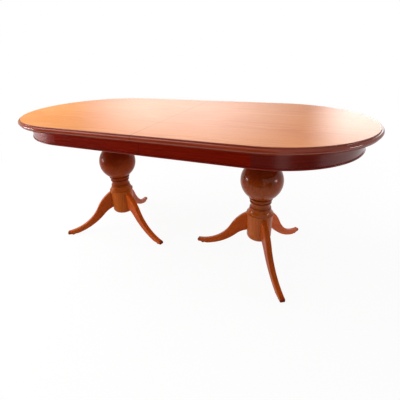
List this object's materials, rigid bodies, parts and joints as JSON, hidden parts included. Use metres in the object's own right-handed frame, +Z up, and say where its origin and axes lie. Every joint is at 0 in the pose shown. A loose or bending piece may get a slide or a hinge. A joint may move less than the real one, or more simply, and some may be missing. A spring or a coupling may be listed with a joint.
{
  "type": "double pedestal dining table",
  "caption": "Long round-ended dining table on turned globe pedestals with sabre legs; the top parts at the middle and draws open on wooden runners.",
  "frame": {"origin": "on the floor, under the middle of the closed top", "axes": "+X along the table towards the half that draws out, +Y towards the back, +Z up"},
  "size_m": [1.83, 0.9, 0.76],
  "materials": {
    "top_wood": "clear gloss lacquer over stained cherry-coloured veneer",
    "polished_wood": "clear gloss lacquer over stained solid wood",
    "carcass_wood": "bare planed beech",
    "steel": "zinc plated",
    "catch_metal": "yellow passivated steel",
    "glide_nylon": "dark brown nylon"
  },
  "bodies": {
    "left_half": {"left_top": "top_wood", "left_front_rail": "polished_wood", "left_back_rail": "polished_wood", "left_end_rail": "polished_wood", "left_apron_bead": "polished_wood", "left_column": "polished_wood", "left_base_cap": "polished_wood", "left_inner_leg": "polished_wood", "left_front_leg": "polished_wood", "left_back_leg": "polished_wood", "left_rail_dowels": "carcass_wood", "left_rail_blocks": "carcass_wood", "left_end_blocks": "carcass_wood", "left_crown_block": "carcass_wood", "left_front_runner": "carcass_wood", "left_back_runner": "carcass_wood", "left_crown_screws": "steel", "left_cap_screw": "steel", "left_runner_screws": "steel", "left_glides": "glide_nylon", "seam_dowels": "carcass_wood", "catch_plates": "catch_metal", "catch_pivots": "catch_metal", "catch_screws": "steel"},
    "right_half": {"right_top": "top_wood", "right_front_rail": "polished_wood", "right_back_rail": "polished_wood", "right_end_rail": "polished_wood", "right_apron_bead": "polished_wood", "right_column": "polished_wood", "right_base_cap": "polished_wood", "right_inner_leg": "polished_wood", "right_front_leg": "polished_wood", "right_back_leg": "polished_wood", "right_rail_dowels": "carcass_wood", "right_rail_blocks": "carcass_wood", "right_end_blocks": "carcass_wood", "right_crown_block": "carcass_wood", "right_front_runner": "carcass_wood", "right_back_runner": "carcass_wood", "right_crown_screws": "steel", "right_cap_screw": "steel", "right_runner_screws": "steel", "right_glides": "glide_nylon", "keeper_plates": "catch_metal", "keeper_studs": "catch_metal", "keeper_screws": "steel"},
    "front_slide": {"middle_front_runner": "carcass_wood"},
    "back_slide": {"middle_back_runner": "carcass_wood"},
    "front_catch": {"front_catch_lever": "catch_metal"},
    "back_catch": {"back_catch_lever": "catch_metal"}
  },
  "joints": [
    {"name": "extension", "type": "slide", "parent": "left_half", "child": "right_half", "axis": [1, 0, 0], "range_m": [0, 0.46]},
    {"name": "front_slide_travel", "type": "slide", "parent": "left_half", "child": "front_slide", "axis": [1, 0, 0], "range_m": [0, 0.23]},
    {"name": "back_slide_travel", "type": "slide", "parent": "left_half", "child": "back_slide", "axis": [1, 0, 0], "range_m": [0, 0.23]},
    {"name": "front_catch_turn", "type": "hinge", "parent": "left_half", "child": "front_catch", "pos_m": [-0.045, -0.1112, 0.7266], "axis": [0, 0, 1], "range_deg": [0, 90]},
    {"name": "back_catch_turn", "type": "hinge", "parent": "left_half", "child": "back_catch", "pos_m": [-0.045, 0.1112, 0.7266], "axis": [0, 0, -1], "range_deg": [0, 90]}
  ],
  "couplings": [
    {"joint": "front_slide_travel", "follows": "extension", "ratio": 0.5},
    {"joint": "back_slide_travel", "follows": "extension", "ratio": 0.5}
  ]
}
